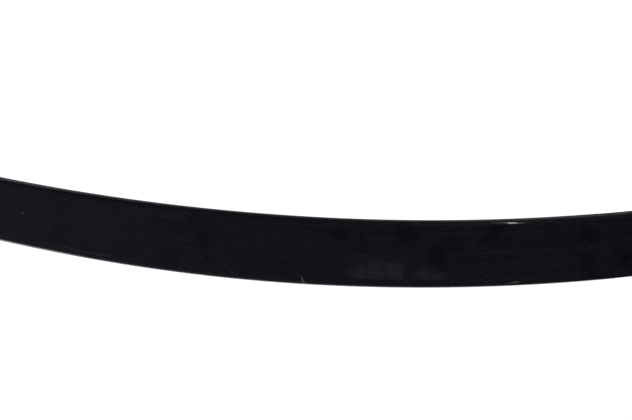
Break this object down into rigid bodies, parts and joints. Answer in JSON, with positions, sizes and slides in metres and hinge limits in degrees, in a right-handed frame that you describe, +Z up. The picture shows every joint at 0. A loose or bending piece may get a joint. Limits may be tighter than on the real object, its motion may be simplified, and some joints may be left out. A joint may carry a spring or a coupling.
{
  "type": "prosthetic leg",
  "caption": "Above-knee running prosthesis: carbon thigh socket with suction valve, single-axis hydraulic knee, short pylon and a J-shaped carbon running blade with a treaded sole.",
  "frame": {"origin": "middle of the flat patch of the tread, where the standing leg touches the ground", "axes": "+Z up along the leg, -Y forward where the toe points, -X to the wearer's right, which is the outer side of this right leg"},
  "size_m": [0.1467, 0.2002, 0.8808],
  "materials": {
    "carbon_laminate": "clear-coated twill carbon laminate",
    "carbon_blade": "satin black carbon laminate, fine lengthwise streaks on the cut edges",
    "flexible_inner": "smooth flexible polymer",
    "valve_plastic": "fine moulded texture",
    "valve_button": "smooth moulded",
    "dark_aluminium": "dark anodised, bead blasted",
    "silver_aluminium": "natural anodised",
    "titanium": "turned",
    "steel": "oiled black oxide and bright steel",
    "rubber": "matte",
    "midsole_foam": "closed-cell foam",
    "bumper_polymer": "dense polyurethane",
    "bearing_polymer": "filled polymer",
    "dial_red": "anodised look",
    "dial_blue": "anodised look"
  },
  "bodies": {
    "thigh": {"socket_shell": "carbon_laminate", "inner_socket": "flexible_inner", "valve_body": "valve_plastic", "valve_membrane": "rubber", "socket_end_plate": "dark_aluminium", "pyramid_adapter": "titanium", "adapter_screws": "steel", "knee_head": "dark_aluminium", "pyramid_set_screws": "steel", "damper_covers": "dark_aluminium", "axle_seals": "rubber", "axle_bushes": "bearing_polymer"},
    "valve_button": {"valve_button": "valve_button"},
    "shin": {"knee_frame": "silver_aluminium", "knee_axle": "steel", "axle_caps": "titanium", "damper_vane": "steel", "extension_bumper": "bumper_polymer", "knee_cover": "valve_plastic", "knee_cover_screws": "steel", "knee_clamp_screw": "steel", "knee_clamp_nut": "steel", "pylon_tube": "silver_aluminium"},
    "extension_dial": {"extension_dial": "dial_red"},
    "flexion_dial": {"flexion_dial": "dial_blue"},
    "foot": {"blade_bracket": "dark_aluminium", "bracket_clamp_screws": "steel", "bracket_clamp_nuts": "steel", "blade_pad": "rubber", "blade": "carbon_blade", "rear_clamp_plate": "dark_aluminium", "blade_bolts": "steel", "blade_washers": "steel", "midsole": "midsole_foam", "tread": "rubber"}
  },
  "joints": [
    {"name": "knee_flexion", "type": "hinge", "parent": "thigh", "child": "shin", "pos_m": [0, 0.05132, 0.5], "axis": [1, 0, 0], "range_deg": [0, 115]},
    {"name": "toe_out", "type": "hinge", "parent": "shin", "child": "foot", "pos_m": [0, 0.05132, 0.37], "axis": [0, 0, 1], "range_deg": [-12, 12]},
    {"name": "valve_press", "type": "slide", "parent": "thigh", "child": "valve_button", "axis": [1, 0, 0], "range_m": [0, 0.0025], "stiffness_N_per_m": 500},
    {"name": "extension_dial_turn", "type": "hinge", "parent": "shin", "child": "extension_dial", "pos_m": [-0.03, 0.04182, 0.45], "axis": [-1, 0, 0], "range_deg": [0, 270]},
    {"name": "flexion_dial_turn", "type": "hinge", "parent": "shin", "child": "flexion_dial", "pos_m": [-0.03, 0.06082, 0.45], "axis": [-1, 0, 0], "range_deg": [0, 270]}
  ]
}
